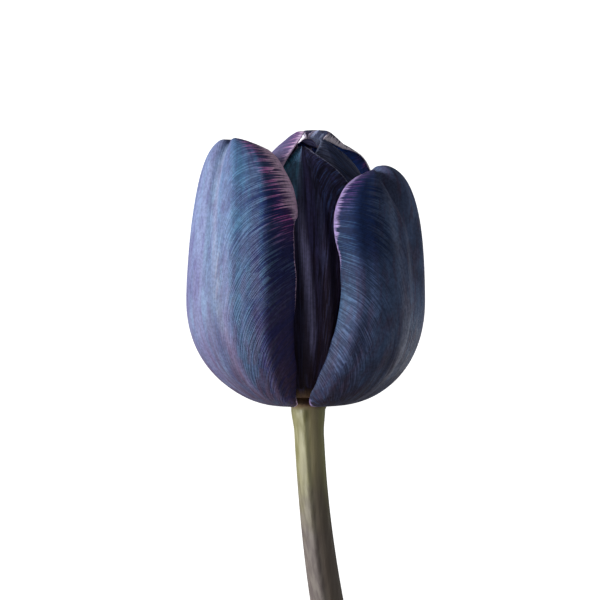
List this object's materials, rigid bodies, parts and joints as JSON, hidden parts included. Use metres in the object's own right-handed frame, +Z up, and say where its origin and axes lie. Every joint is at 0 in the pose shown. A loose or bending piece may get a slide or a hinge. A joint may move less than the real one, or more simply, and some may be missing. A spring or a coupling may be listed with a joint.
{
  "type": "cut tulip",
  "caption": "Cut tulip lying on its side: an egg-shaped closed bloom with broad furrowed outer petals wrapped around inner ones, on a curved leafless stem.",
  "frame": {"origin": "centre of the underside of the bounding box, on the surface that the tulip lies on", "axes": "+Y from the stem's cut towards the bloom's tips, +Z up from the surface, +X to the right seen from above"},
  "size_m": [0.0566, 0.1887, 0.0553],
  "materials": {
    "outer_petal": "satin, with a fine grain of veins",
    "inner_petal": "satin, with a fine grain of veins",
    "stem_green": "matt, with a thin waxy bloom",
    "pistil_green": "satin",
    "stamen_dark": "powdery"
  },
  "bodies": {
    "root": {"stem": "stem_green", "petal_outer_left": "outer_petal", "petal_outer_right": "outer_petal", "petal_outer_back": "outer_petal", "petal_inner_front": "inner_petal", "petal_inner_right": "inner_petal", "petal_inner_left": "inner_petal", "pistil": "pistil_green", "stamen_1": "stamen_dark", "stamen_2": "stamen_dark", "stamen_3": "stamen_dark", "stamen_4": "stamen_dark", "stamen_5": "stamen_dark", "stamen_6": "stamen_dark"}
  },
  "joints": []
}
